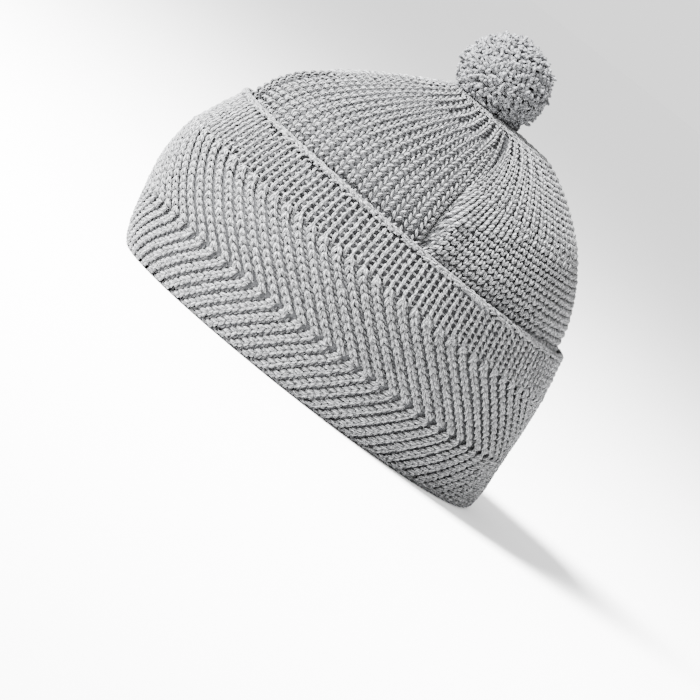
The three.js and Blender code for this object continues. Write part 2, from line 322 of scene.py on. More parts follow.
def yarn_mesh(name, centres, outwards, half_width, thickness, material, tint):
    """Joins tapered yarns into one mesh. Centres are (yarns, rings, 3)."""
    count, rings = centres.shape[:2]
    run = np.gradient(centres, axis=1)
    run /= np.linalg.norm(run, axis=-1, keepdims=True) + 1e-12
    side = np.cross(run, outwards)
    side /= np.linalg.norm(side, axis=-1, keepdims=True) + 1e-12
    up = np.cross(side, run)
    half_width = np.broadcast_to(half_width, (count, rings))
    half_height = half_width * thickness
    angle = TURN * np.arange(SIDES) / SIDES
    body = (
        centres[:, :, None]
        + side[:, :, None] * (half_width[..., None] * np.cos(angle))[..., None]
        + up[:, :, None] * (half_height[..., None] * np.sin(angle))[..., None]
    )
    reach = 0.7 * half_width[:, [0, -1], None]
    tips = centres[:, [0, -1]] + run[:, [0, -1]] * reach * np.array([-1, 1])[:, None]
    points = np.concatenate([body.reshape(count, -1, 3), tips], 1)

    ring, step = np.meshgrid(np.arange(rings - 1), np.arange(SIDES), indexing="ij")
    ring, step = ring.ravel(), step.ravel()
    after = (step + 1) % SIDES
    low, high = ring * SIDES, (ring + 1) * SIDES
    quads = np.stack([low + step, high + step, high + after, low + after], 1)
    last = (rings - 1) * SIDES
    turn = np.arange(SIDES)
    far = (turn + 1) % SIDES
    start_tip, end_tip = rings * SIDES, rings * SIDES + 1
    caps = np.concatenate(
        [
            np.stack([np.full(SIDES, start_tip), turn, far], 1),
            np.stack([np.full(SIDES, end_tip), last + far, last + turn], 1),
        ]
    )
    offset = (np.arange(count) * (rings * SIDES + 2))[:, None, None]
    faces = [(quads + offset).reshape(-1, 4), (caps + offset).reshape(-1, 3)]

    lengths = np.linalg.norm(np.diff(centres, axis=1), axis=-1)
    along = np.concatenate([np.zeros((count, 1)), np.cumsum(lengths, 1)], 1)
    along = along + rng.uniform(0, 8, (count, 1))
    around = np.stack([step, step, step + 1, step + 1], 1) / SIDES
    quad_uv = np.stack(
        [
            np.broadcast_to(around, (count, *around.shape)),
            along[:, np.stack([ring, ring + 1, ring + 1, ring], 1)],
        ],
        -1,
    )
    cap_around = np.stack([turn + 0.5, turn, turn + 1], 1) / SIDES
    cap_around = np.concatenate([cap_around, cap_around[:, [0, 2, 1]]])
    ends = np.repeat(along[:, [0, -1]], SIDES, axis=1)[..., None]
    cap_uv = np.stack(
        [
            np.broadcast_to(cap_around, (count, 2 * SIDES, 3)),
            np.broadcast_to(ends, (count, 2 * SIDES, 3)),
        ],
        -1,
    )
    uvs = np.concatenate([quad_uv.reshape(-1, 2), cap_uv.reshape(-1, 2)])
    shades = np.repeat(tint, rings * SIDES + 2)
    return make_mesh(name, points, faces, material, uvs, shades)


def taper(rings):
    """Share of full width at each ring of a leg: slim ends and a full middle."""
    t = np.linspace(0.07, 0.93, rings)
    return 0.3 + 0.7 * np.sin(math.pi * t) ** 0.8


print("a leg with 5 rings has", 2 * SIDES * 5, "triangles")

# %% [markdown]
# ## The yarn's finish
#
# Heather yarn is spun from light and dark fibres, and a few plies are twisted round each
# other. Image textures could hold this, but a pattern of nodes stays sharp at any distance.
# Two shader groups hold the effects, because all three yarns use them: one draws the twist
# from the UV map and gives a mask of the grooves between the plies, where shade is painted
# into the colour, the other mixes light and dark fibres.

# %% Helpers for shader groups


def new_group(name, inputs, outputs):
    """A shader node group with named inputs and outputs, and its two end nodes."""
    group = bpy.data.node_groups.new(name, "ShaderNodeTree")
    for label, kind, value in inputs:
        made = group.interface.new_socket(label, in_out="INPUT", socket_type=kind)
        made.default_value = value
    for label, kind in outputs:
        group.interface.new_socket(label, in_out="OUTPUT", socket_type=kind)
    return group, group.nodes.new("NodeGroupInput"), group.nodes.new("NodeGroupOutput")


def add_node(tree, kind, settings=None, **values):
    """A node with its settings and the values or links of its sockets.

    A socket is named, with _ for a space, or given by its number, as in i0.
    """
    node = tree.nodes.new(kind)
    for key, value in (settings or {}).items():
        setattr(node, key, value)
    for key, value in values.items():
        socket = node.inputs[int(key[1:])] if key[0] == "i" and key[1:].isdigit() else None
        socket = socket or node.inputs[key.replace("_", " ")]
        if isinstance(value, bpy.types.NodeSocket):
            tree.links.new(value, socket)
        else:
            socket.default_value = value
    return node


def math_node(tree, operation, first, second=0.5):
    """Result of one sum on two values or sockets."""
    node = add_node(tree, "ShaderNodeMath", {"operation": operation}, i0=first, i1=second)
    return node.outputs[0]


# %% The twist of the plies
FLOAT, COLOUR = "NodeSocketFloat", "NodeSocketColor"


def make_twist_group():
    """Height of plies that wind round the yarn, and a mask of the grooves between them for painted
    shade.
    """
    group, start, end = new_group(
        "ply_twist",
        [("Plies", FLOAT, 2.0), ("Pitch mm", FLOAT, 2.4)],
        [("Height", FLOAT), ("Painted Groove Shade", FLOAT)],
    )
    run = add_node(group, "ShaderNodeUVMap", {"uv_map": "yarn_run"})
    split = add_node(group, "ShaderNodeSeparateXYZ", None, Vector=run.outputs["UV"])
    around = math_node(group, "MULTIPLY", split.outputs["X"], start.outputs["Plies"])
    along = math_node(group, "DIVIDE", split.outputs["Y"], start.outputs["Pitch mm"])
    phase = math_node(group, "MULTIPLY", math_node(group, "ADD", around, along), math.pi)
    ridge = math_node(group, "ABSOLUTE", math_node(group, "SINE", phase))
    group.links.new(math_node(group, "POWER", ridge, 0.6), end.inputs["Height"])
    # This mask is used only to paint shade into the colour between the plies.
    painted_groove_shade = math_node(group, "POWER", math_node(group, "SUBTRACT", 1.0, ridge), 3.0)
    group.links.new(painted_groove_shade, end.inputs["Painted Groove Shade"])
    return group


twist_group = make_twist_group()
print("made the group", twist_group.name)

# %% The light and dark fibres


def make_heather_group():
    """Colour of mixed light and dark fibres, and the height of single fibres."""
    group, start, end = new_group(
        "heather_fibres",
        [
            ("Light", COLOUR, (0.6, 0.6, 0.6, 1)),
            ("Dark", COLOUR, (0.3, 0.3, 0.3, 1)),
            ("Fibres per mm", FLOAT, 4.0),
            ("Dark share", FLOAT, 0.4),
        ],
        [("Colour", COLOUR), ("Height", FLOAT)],
    )
    run = add_node(group, "ShaderNodeUVMap", {"uv_map": "yarn_run"})
    place = add_node(group, "ShaderNodeTexCoord")
    stretch = add_node(group, "ShaderNodeMapping", None, Vector=run.outputs["UV"])
    stretch.inputs["Scale"].default_value = (3.2, 0.16, 1.0)
    fibre = add_node(
        group,
        "ShaderNodeTexNoise",
        {"noise_dimensions": "3D"},
        Vector=stretch.outputs["Vector"],
        Scale=start.outputs["Fibres per mm"],
        Detail=3.0,
        Roughness=0.7,
    )
    cloud = add_node(
        group,
        "ShaderNodeTexNoise",
        {"noise_dimensions": "3D"},
        Vector=place.outputs["Object"],
        Scale=900.0,
        Detail=2.0,
        Roughness=0.6,
    )
    both = math_node(group, "ADD", fibre.outputs["Fac"], cloud.outputs["Fac"])
    mean = math_node(group, "MULTIPLY", both, 0.5)
    sharp = add_node(
        group,
        "ShaderNodeMapRange",
        {"interpolation_type": "SMOOTHSTEP"},
        Value=math_node(group, "ADD", mean, start.outputs["Dark share"]),
    )
    sharp.inputs["From Min"].default_value = 0.855
    sharp.inputs["From Max"].default_value = 0.945
    mix = add_node(
        group,
        "ShaderNodeMix",
        {"data_type": "RGBA"},
        i0=sharp.outputs["Result"],
        i6=start.outputs["Light"],
        i7=start.outputs["Dark"],
    )
    group.links.new(mix.outputs[2], end.inputs["Colour"])
    group.links.new(fibre.outputs["Fac"], end.inputs["Height"])
    return group


heather_group = make_heather_group()
print("made the group", heather_group.name)

# %% The three yarn materials


def make_yarn(name, light, dark, plies, pitch, depth, shine=1.0):
    """Matt woollen yarn of mixed fibres with twisted plies and painted shade in the grooves between
    them, pitch and depth in mm.
    """
    material = bpy.data.materials.new(name)
    material.use_nodes = True
    tree = material.node_tree
    shader = tree.nodes["Principled BSDF"]
    twist = add_node(tree, "ShaderNodeGroup", {"node_tree": twist_group})
    twist.inputs["Plies"].default_value = plies
    twist.inputs["Pitch mm"].default_value = pitch
    fibres = add_node(tree, "ShaderNodeGroup", {"node_tree": heather_group})
    fibres.inputs["Light"].default_value = (*light, 1)
    fibres.inputs["Dark"].default_value = (*dark, 1)
    tint = add_node(tree, "ShaderNodeAttribute", {"attribute_name": "tint"})
    shade = math_node(tree, "MULTIPLY", tint.outputs["Fac"], 0.5)
    # Painted shade: the colour is darkened in the grooves between the plies.
    painted_groove_shade = math_node(tree, "MULTIPLY", twist.outputs["Painted Groove Shade"], -0.9)
    value = math_node(tree, "ADD", math_node(tree, "ADD", shade, painted_groove_shade), 1.0)
    colour = fibres.outputs["Colour"]
    tone = add_node(tree, "ShaderNodeHueSaturation", None, Color=colour, Value=value)
    tree.links.new(tone.outputs["Color"], shader.inputs["Base Color"])
    relief = math_node(tree, "MULTIPLY", fibres.outputs["Height"], 0.5)
    relief = math_node(tree, "ADD", relief, twist.outputs["Height"])
    bump = add_node(tree, "ShaderNodeBump", None, Height=relief)
    bump.inputs["Distance"].default_value = depth * MM
    bump.inputs["Strength"].default_value = 1.0
    tree.links.new(bump.outputs["Normal"], shader.inputs["Normal"])
    shader.inputs["Roughness"].default_value = 0.65
    shader.inputs["Specular IOR Level"].default_value = 0.4 * shine
    shader.inputs["Sheen Weight"].default_value = 0.18 * shine
    shader.inputs["Sheen Roughness"].default_value = 0.6
    return material


heather_yarn = make_yarn("heather_yarn", (0.22, 0.222, 0.228), (0.03, 0.031, 0.034), 4, 3.2, 1.1)
pompom_yarn = make_yarn("pompom_yarn", (0.125, 0.127, 0.135), (0.02, 0.021, 0.025), 3, 4.0, 0.7)
# Painted shade: the yarn behind the stitches, inside the cap and in the pompom's core is painted
# much darker than the cap's own yarn.
painted_shade_pale, painted_shade_deep = (0.1, 0.101, 0.105), (0.07, 0.071, 0.074)
painted_shade_yarn = make_yarn("painted_shade_yarn", painted_shade_pale, painted_shade_deep, 5, 3.2, 0.3, shine=0)
print("materials:", heather_yarn.name, pompom_yarn.name, painted_shade_yarn.name)

# %% Attaching a piece in place of its solid


def dress(made, node):
    """The piece moves with the cap, and the solid it stands for is hidden."""
    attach(made, "root")
    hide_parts(node)
    return made


# %% [markdown]
# ## The zigzag ribs of the cuff
#
# Every rib of the cuff follows the same path: almost straight down from the edge, through a
# soft bend, far to the right, round a sharp corner and far back to the left, then round the
# fold and a little way up inside. In a machine-knitted cap this comes from shifting one bed
# of needles sideways, row by row. The ribs could be swept as plain ropes, but then no stitch
# would show. So the path is worked out once, stitches are set along it, and it is repeated
# round the cap.

# %% Path of one rib
LOWER_DRIFT = 35.0
MIDDLE_DRIFT = 38.0
UPPER_DRIFT = 1.5
BEND_SOFTNESS = 4.0
CORNER_SOFTNESS = 2.0
MEAN_RADIUS = (CAP_LENGTH + CAP_WIDTH) / 4
bend_row = BEND_HEIGHT + ROWS_BEFORE_WALL
corner_row = CORNER_HEIGHT + ROWS_BEFORE_WALL
foot_row = -(FOOT_HEIGHT + ROWS_BEFORE_WALL)
lower_slope = LOWER_DRIFT / CORNER_HEIGHT
PATH_ROWS = [foot_row - 10, corner_row, bend_row, TOP_ROW, TOP_ROW + 10]
corner_drift = UPPER_DRIFT + MIDDLE_DRIFT
PATH_DRIFTS = [
    corner_drift - lower_slope * (corner_row - foot_row + 10),
    corner_drift,
    UPPER_DRIFT,
    0.0,
    0.0,
]


def rib_drift(rows):
    """Sideways place of a rib in millimetres at a distance up the rows."""
    soft = np.where(rows > (corner_row + bend_row) / 2, BEND_SOFTNESS, CORNER_SOFTNESS)
    spots = [rows + soft * k for k in np.linspace(-1, 1, 9)]
    return np.mean([np.interp(spot, PATH_ROWS, PATH_DRIFTS) for spot in spots], 0)


def path_places(start_row, end_row, pitch):
    """Evenly spaced stitches on the path going down: places and directions of travel."""
    rows = np.linspace(start_row, end_row, 600)
    drift = rib_drift(rows)
    gone = np.concatenate([[0], np.cumsum(np.hypot(np.diff(rows), np.diff(drift)))])
    stitches = max(round(gone[-1] / pitch), 1)
    at = np.arange(stitches) * gone[-1] / stitches
    middle = at + gone[-1] / stitches / 2
    travel = np.stack([np.gradient(drift, gone), np.gradient(rows, gone)], 1)
    travel = np.stack([np.interp(middle, gone, column) for column in travel.T], 1)
    travel /= np.linalg.norm(travel, axis=1, keepdims=True)
    place = np.stack([np.interp(at, gone, drift), np.interp(at, gone, rows)], 1)
    return place, travel, gone[-1] / stitches


def lay_on_cuff(name, path, legs, material, rings=5, wobble=0.13):
    """Lays the same legs on every stitch of every rib.

    A leg is (start, end, half width, height in the middle, tucks of its two ends). Start and
    end are shares of the stitch's length, and of half the space from rib to rib, which closes
    up where the ribs run aslant. The half width is a share of that space too.
    """
    place, travel, pitch = path
    t = np.linspace(0, 1, rings)
    ease = t * t * (3 - 2 * t)
    arch = np.sin(math.pi * t) ** 0.8
    turns = np.arange(CUFF_RIBS) * TURN / CUFF_RIBS
    right = np.stack([-travel[:, 1], travel[:, 0]], 1)
    half_space = math.pi * MEAN_RADIUS / CUFF_RIBS * np.abs(travel[:, 1])
    shape = (CUFF_RIBS, len(place), 1)
    groups = []
    for start, end, half_width, middle_lift, tuck_start, tuck_end in legs:
        along = (start[0] + (end[0] - start[0]) * t) * pitch
        across = (start[1] + (end[1] - start[1]) * ease) * half_space[:, None]
        flat = (
            place[:, None]
            + travel[:, None] * along[None, :, None]
            + right[:, None] * across[..., None]
        )
        flat = flat[None] + rng.normal(0, wobble, (*shape, 2))
        lift = middle_lift - (tuck_start * (1 - t) + tuck_end * t) * (1 - arch)
        lift = lift + rng.normal(0, 0.07, shape)
        turn = turns[:, None, None] + flat[..., 0] / MEAN_RADIUS
        width = half_width * half_space[:, None] * taper(rings) * rng.uniform(0.92, 1.08, shape)
        groups.append([a.reshape(-1, rings) for a in (turn, flat[..., 1], lift, width)])
    turn, row, lift, width = [np.concatenate(parts) for parts in zip(*groups)]
    centres, outwards = on_sheet(cuff_place, turn, row, lift)
    tint = rng.normal(0, 0.16, len(turn))
    return yarn_mesh(name, centres, outwards, width, 0.85, material, tint)


middle_path = path_places(bend_row + 2, corner_row, 3.75)
print(f"{len(middle_path[0])} stitches between the bend and the corner")

# %% Ribs between the bend and the corner


def chain_legs(reach, half_width, lift):
    """The two legs of a stitch, which spread apart in the direction of travel."""
    return [
        ((-0.15, side * 0.08), (1.15, side * reach), half_width, lift, 2.0, 1.0) for side in (-1, 1)
    ]


dress(
    lay_on_cuff("cuff_middle_ribs", middle_path, chain_legs(0.5, 0.345, -0.6), heather_yarn),
    "cuff",
)

# %% Ribs from the corner round the fold to the foot inside
lower_path = path_places(corner_row, foot_row, 3.6)
dress(
    lay_on_cuff("cuff_lower_ribs", lower_path, chain_legs(0.52, 0.4, -0.65), heather_yarn), "cuff"
)

# %% [markdown]
# ## The yarn between the ribs
#
# A rib stands up because the loops between it and the next one lie deeper. Only bits of them
# show, as short lengths of yarn in shade. They could be left to the shell behind the
# stitches, but a smooth shell looks like a gap, so each furrow has a row of low legs.

# %% Yarn deep in the furrows
deep_path = path_places(bend_row + 3, 2, 2.8)
deep_bumps = [((0.0, 0.8), (0.9, 1.2), 0.25, -2.6, 0.2, 0.2)]
dress(
    lay_on_cuff("cuff_furrow_yarn", deep_path, deep_bumps, heather_yarn, rings=3, wobble=0.25),
    "cuff",
)

# %% [markdown]
# ## The open top of the cuff
#
# Above the bend each rib opens into two upright lines of stitches with short bars of yarn
# between them, so that the fabric looks like a ladder with a dark hole in every cell. Holes
# could be cut or painted, but lines and bars laid apart leave real ones.

# %% Upright lines and bars
upper_path = path_places(TOP_ROW - 1.5, bend_row + 0.5, 2.9)
upright_legs = [
    ((-0.2, place - 0.1), (1.1, place + 0.1), half_width, -0.7, 1.3, 0.7)
    for place, half_width in ((0.0, 0.26), (1.0, 0.23))
]
bar_legs = [
    ((drop, start), (drop + 0.1, start + 1.0), 0.14, -1.3, 0.5, 0.5)
    for start, drop in ((-1.0, 0.3), (0.0, 0.75))
]
dress(
    lay_on_cuff("cuff_upright_lines", upper_path, upright_legs, heather_yarn, wobble=0.17), "cuff"
)
dress(lay_on_cuff("cuff_bars", upper_path, bar_legs, heather_yarn, rings=3, wobble=0.2), "cuff")

# %% [markdown]
# ## The cast-off edge
#
# The edge is closed by a chain of loops that lie along it, a little uneven, as cast-off
# stitches are. One rope swept round the edge would be too even. Short strands that cross
# each other, in front of the lip and over it, give the knobbly line of small loops.

# %% Chain along the edge
edge_path = (np.array([[0.0, TOP_ROW + 0.4]]), np.array([[0.0, -1.0]]), 1.0)
edge_strands = [
    (-1.0, -0.6, 1.2, 0.35),
    (1.3, -0.4, -0.9, 0.5),
    (-1.4, -0.3, -1.8, 0.8),
    (-2.8, -0.6, -2.4, 0.5),
]
edge_legs = [
    ((low, middle + left), (high, middle + right), 0.2, -0.45, 0.8, 0.8)
    for middle in (-0.5, 0.5)
    for low, left, high, right in edge_strands
]
dress(
    lay_on_cuff("cuff_edge_chain", edge_path, edge_legs, heather_yarn, wobble=0.5), "cuff"
)

# %% [markdown]
# ## The shells behind the stitches
#
# Between the legs one looks down on yarn that lies deeper and in shade. Stitches could be
# laid there too, but they would hardly show. A closed shell stands for them, a little behind
# the stitches outside, and it is also the side of the fabric that is seen from inside. Its
# yarn is painted much darker than the cap's own, as painted shade.

# %% A closed shell from rings
SHELL_COLUMNS = 4 * CUFF_RIBS
BACKING_DEPTH = 2.9


def shell_mesh(name, rings, material, closed=True):
    """Joins rings of points into a shell; a closed one joins its last ring to its first."""
    count, columns = rings.shape[:2]
    bands = count if closed else count - 1
    ring, column = np.meshgrid(np.arange(bands), np.arange(columns), indexing="ij")
    ring, column = ring.ravel(), column.ravel()
    after, above = (column + 1) % columns, (ring + 1) % count
    quads = np.stack(
        [
            ring * columns + column,
            ring * columns + after,
            above * columns + after,
            above * columns + column,
        ],
        1,
    )
    faces = [quads]
    if not closed:
        faces.append(np.arange(columns)[None, ::-1])
        faces.append(((count - 1) * columns + np.arange(columns))[None])
    around = np.stack([column, column + 1, column + 1, column], 1) / columns * 400
    up = np.stack([ring, ring, ring + 1, ring + 1], 1) * 2.0
    uvs = np.stack([around, up], -1).reshape(-1, 2)
    if not closed:
        uvs = np.concatenate([uvs, np.zeros((2 * columns, 2))])
    return make_mesh(name, rings, faces, material, uvs)


turns = np.arange(SHELL_COLUMNS) * TURN / SHELL_COLUMNS


def cuff_shell():
    """The cuff's shell: down its back, round the fold and up its face."""
    down_back = [(row, KNIT) for row in np.linspace(TOP_ROW, 2 - foot_row, 12)]
    round_fold = [foot_row, foot_row / 2, -REST_WIDTH, REST_WIDTH]
    up_face = np.linspace(FOOT / 2, TOP_ROW, 36)
    behind_stitches = [(row, BACKING_DEPTH) for row in [*round_fold, *up_face]]
    rings = [
        on_sheet(cuff_place, turns, np.full_like(turns, row), np.full_like(turns, -depth))[0]
        for row, depth in down_back + behind_stitches
    ]
    # The shell's dark yarn is painted shade.
    return shell_mesh("cuff_backing", np.array(rings), painted_shade_yarn)


dress(cuff_shell(), "cuff")

# %% [markdown]
# ## The crown
#
# Four darts divide the crown. Two of the quarters between them are ribbed from the cuff to
# the top. The other two start with plain knitting, whose columns lean away from the dart, and
# turn into ribs higher up. Towards the top every second rib runs out, because the same
# stitches have to fit a smaller round. A stitch pattern repeated as on the cuff wouldn't do,
# so each column of each quarter gets its own turn, width and slant at every stitch.

# %% Relief of the darts
RIBBED_SPAN = math.radians(81)
PLAIN_SPAN = TURN / 2 - RIBBED_SPAN
DART_DEPTH = 3.8
LIP_RISE = 1.8
DART_HEIGHT = 46.0
DART_WIDTH = 0.05


def smooth_step(low, high, value):
    """0 below low, 1 above high, smooth between."""
    t = np.clip((value - low) / (high - low), 0, 1)
    return t * t * (3 - 2 * t)


def dart_relief(turn, climb):
    """Crease of the nearest dart and the puffed edge on its plain side, positive outwards."""
    wrapped = (turn + PLAIN_SPAN / 2) % (TURN / 2) - PLAIN_SPAN / 2
    offset = np.where(wrapped > PLAIN_SPAN / 2, PLAIN_SPAN - wrapped, wrapped)
    fade = smooth_step(-2, 4, climb) * (1 - smooth_step(0.55 * DART_HEIGHT, DART_HEIGHT, climb))
    crease = np.maximum(0, 1 - np.abs(offset) / DART_WIDTH)
    lip = np.maximum(0, 1 - np.abs(offset - 1.9 * DART_WIDTH) / (1.9 * DART_WIDTH))
    return fade * (LIP_RISE * lip - DART_DEPTH * crease)


def crown_radius(climb):
    """Mean radius of the crown at a climb."""
    half_length, half_width = crown_ring(climb)[:2]
    return (half_length + half_width) / 2


cuff_radius, shoulder_radius = crown_radius(0.0), crown_radius(SHOULDER_CLIMB)
print(f"crown radius {cuff_radius:.1f} at the cuff, {shoulder_radius:.1f} at the shoulder")

# %% Legs laid on the crown


def lay_on_crown(name, stitches, legs, material, rings=5):
    """Lays legs on stitches of the crown.

    A stitch has a turn, a climb, half the width of its column, its length and its slant to
    the right. A leg is (start, end, half width, lift, tucks), in shares of length and width.
    """
    turn, climb, spread, pitch, slant = stitches.T
    t = np.linspace(0, 1, rings)
    ease = t * t * (3 - 2 * t)
    arch = np.sin(math.pi * t) ** 0.8
    radius = crown_radius(climb)
    groups = []
    for start, end, half_width, middle_lift, tuck_start, tuck_end in legs:
        along = (start[0] + (end[0] - start[0]) * t) * pitch[:, None]
        across = (start[1] + (end[1] - start[1]) * ease) * spread[:, None]
        across = across + along * slant[:, None]
        wobble = rng.normal(0, 0.12, (2, len(turn), 1))
        row = climb[:, None] + along + wobble[0]
        angle = turn[:, None] + (across + wobble[1]) / radius[:, None]
        lift = middle_lift - (tuck_start * (1 - t) + tuck_end * t) * (1 - arch)
        lift = lift + dart_relief(angle, row) + rng.normal(0, 0.05, (len(turn), 1))
        uneven = rng.uniform(0.94, 1.06, (len(turn), 1))
        width = half_width * taper(rings) * spread[:, None] * uneven
        parts = (angle, row, lift, width)
        groups.append([np.broadcast_to(part, (len(turn), rings)) for part in parts])
    angle, row, lift, width = [np.concatenate(parts) for parts in zip(*groups)]
    centres, outwards = on_sheet(crown_place, angle, row, lift)
    tint = rng.normal(0, 0.16, len(angle))
    return yarn_mesh(name, centres, outwards, width, 0.85, material, tint)


def stitch_rows(start, end, low_pitch, high_pitch):
    """Climbs of the stitches of one column, with pitches that shrink towards the top."""
    climbs = [start]
    while climbs[-1] < end:
        share = np.clip(climbs[-1] / TOP_CLIMB, 0, 1)
        climbs.append(climbs[-1] + low_pitch + (high_pitch - low_pitch) * share)
    climbs = np.array(climbs)
    return climbs[:-1], np.diff(climbs)


# %% [markdown]
# ## The ribbed quarters
#
# Seen close up, each rib is a rope of slanting stitches with a line of small beads beside it.
# Chains of paired legs, as on the cuff, would look too even. So each stitch has one slanting
# leg for the rope, one short leg for the bead, and a third deep in the furrow.

# %% The ribbed quarters
RIBS_IN_QUARTER = 18
RIBS_PAST_DART = 2
MERGE_START, MERGE_END = 0.6, 0.84
RIB_FULLNESS = 0.35


def merging(climb):
    """How far every second rib has run out at a climb, from 0 to 1."""
    return smooth_step(MERGE_START * SHOULDER_CLIMB, MERGE_END * SHOULDER_CLIMB, climb)


def ribbed_quarter(first_turn):
    """Turns, climbs, half widths and pitches of the stitches of one ribbed quarter."""
    climbs, pitches = stitch_rows(-5, TOP_CLIMB - 2, 3.55, 3.1)
    cell = RIBBED_SPAN / (RIBS_IN_QUARTER / 2)
    stitches = []
    for rib in range(-RIBS_PAST_DART, RIBS_IN_QUARTER):
        merged = merging(climbs)
        if rib % 2 == 0:
            centre, share = 0.25 + 0.25 * merged, 0.5 + 0.5 * merged
        else:
            centre, share = 0.75 + 0.25 * merged, 0.5 - 0.5 * merged
        turn = first_turn + (rib // 2 + centre) * cell
        spread = share * cell * crown_radius(climbs) * RIB_FULLNESS
        climb = climbs + rng.uniform(-0.4, 0.4)
        rows = np.stack([turn, climb, spread, pitches, np.zeros_like(climb)], 1)
        stitches.append(rows[share > 0.24])
    return np.concatenate(stitches)


rope_and_bead = [
    ((-0.05, -0.25), (1.05, -1.0), 0.33, -0.6, 1.4, 0.9),
    ((0.02, 0.22), (0.92, 0.76), 0.4, -0.5, 1.6, 1.2),
    ((0.25, 1.1), (0.75, 1.65), 0.22, -2.5, 0.2, 0.2),
]
ribbed = np.concatenate([ribbed_quarter(first) for first in (-RIBBED_SPAN, PLAIN_SPAN)])
dress(lay_on_crown("crown_ribs", ribbed, rope_and_bead, heather_yarn), "crown")

# %% [markdown]
# ## The quarters that start plain
#
# Beside each dart the knitting widens, and its columns fan out from the crease. Fanning
# columns are narrow near the dart, so a stitch there is a single leg, and two elsewhere.
# Higher up every second column sinks and ends, and the others grow into ribs. One more
# column beside the crease closes the strip that the fan leaves open.

# %% The quarters that start plain
COLUMNS_IN_QUARTER = 34
PLAIN_TOP = 30.0
FAN_SLOPE = 0.72
FAN_REACH = 44.0
FAN_HEIGHT = 28.0
COLUMNS_PAST_DART = 6
BESIDE_DART = 0.026
BESIDE_WIDTH = 0.022


def plain_quarter(first_turn):
    """Stitches of one quarter that starts plain and turns into ribs."""
    climbs, pitches = stitch_rows(-5, TOP_CLIMB - 2, 3.6, 3.1)
    base_radius = crown_radius(0.0)
    last_turn = PLAIN_SPAN - RIBS_PAST_DART * RIBBED_SPAN / RIBS_IN_QUARTER - 0.01
    stitches = []
    for column in range(-COLUMNS_PAST_DART, COLUMNS_IN_QUARTER):
        offset = (column + 0.5) * PLAIN_SPAN / COLUMNS_IN_QUARTER * base_radius
        near = FAN_SLOPE * math.exp(-offset / FAN_REACH)
        fading = np.exp(-np.maximum(climbs, 0) / FAN_HEIGHT)
        fanned = offset + near * FAN_HEIGHT * (1 - fading)
        squeeze = 1 - near * FAN_HEIGHT * (1 - fading) / FAN_REACH
        share = fanned / base_radius
        width = PLAIN_SPAN / COLUMNS_IN_QUARTER * crown_radius(climbs) * squeeze
        sunk = smooth_step(PLAIN_TOP, PLAIN_TOP + 16, climbs)
        climb = climbs + rng.uniform(-0.15, 0.15)
        merged = merging(climbs)
        if column % 2:
            keep = sunk < 0.6
            spread = width * 0.5 * (1 - 0.4 * sunk)
        elif column % 4:
            keep = merged < 0.6
            spread = width * (0.5 + 0.42 * sunk) * (1 - 0.6 * merged)
        else:
            keep = np.full(len(climbs), True)
            spread = width * (0.5 + 0.42 * sunk + 0.75 * merged)
            share = share + PLAIN_SPAN / COLUMNS_IN_QUARTER * squeeze * merged
        keep &= (share > 0.014) & (share < last_turn)
        fan = near * fading
        length = pitches * (1 + 0.2 * fan + 0.25 * sunk)
        rows = np.stack([first_turn + share, climb, spread, length, fan], 1)
        stitches.append(rows[keep])
    beside = np.full_like(climbs, first_turn + BESIDE_DART)
    spread = BESIDE_WIDTH * crown_radius(climbs)
    rows = np.stack([beside, climbs, spread, pitches, np.zeros_like(climbs)], 1)
    return np.concatenate([*stitches, rows[climbs > 20]])


plain_legs = [
    ((-0.02, side * 0.16), (0.9, side * 0.72), 0.44, -0.75, 1.2, 0.9) for side in (-1, 1)
]
plain = np.concatenate([plain_quarter(first) for first in (0.0, TURN / 2)])
narrow = (plain[:, 2] < 1.6) & (plain[:, 1] < PLAIN_TOP + 10)
dress(lay_on_crown("crown_plain", plain[~narrow], plain_legs, heather_yarn), "crown")

fan_legs = [((-0.1, -0.3), (1.1, 0.3), 0.78, -0.65, 1.2, 0.9)]
dress(lay_on_crown("crown_fans", plain[narrow], fan_legs, heather_yarn), "crown")

between = plain[plain[:, 1] > PLAIN_TOP + 6]
between_legs = [((0.1, 0.95), (0.8, 1.35), 0.32, -2.0, 0.2, 0.2)]
dress(
    lay_on_crown("crown_furrow_yarn", between, between_legs, heather_yarn, rings=3), "crown"
)

# %% [markdown]
# ## The creases of the darts
#
# A dart is where two edges are drawn together, so its bottom is a line of yarn that lies
# deeper than the fabric beside it. The relief alone would leave a bare groove there, so two
# rows of short legs are laid along the bottom of each crease.

# %% Yarn at the bottom of the creases
creases = [
    (turn + side * 0.012, climb, 1.2, 3.6, 0.0)
    for turn in (0.0, PLAIN_SPAN, TURN / 2, -RIBBED_SPAN)
    for side in (-1, 1)
    for climb in np.arange(-4.0, 40.0, 3.4)
]
crease_legs = [((-0.1, -0.3), (1.05, 0.5), 0.7, -1.9, 0.5, 0.5)]
dress(lay_on_crown("crown_creases", np.array(creases), crease_legs, heather_yarn), "crown")

# %% [markdown]
# ## The shell of the crown
#
# The crown's shell is made like the cuff's, and runs down inside the cuff to the foot. Its
# inner face is softly ribbed, as the back of a rib is.

# %% The crown's shell


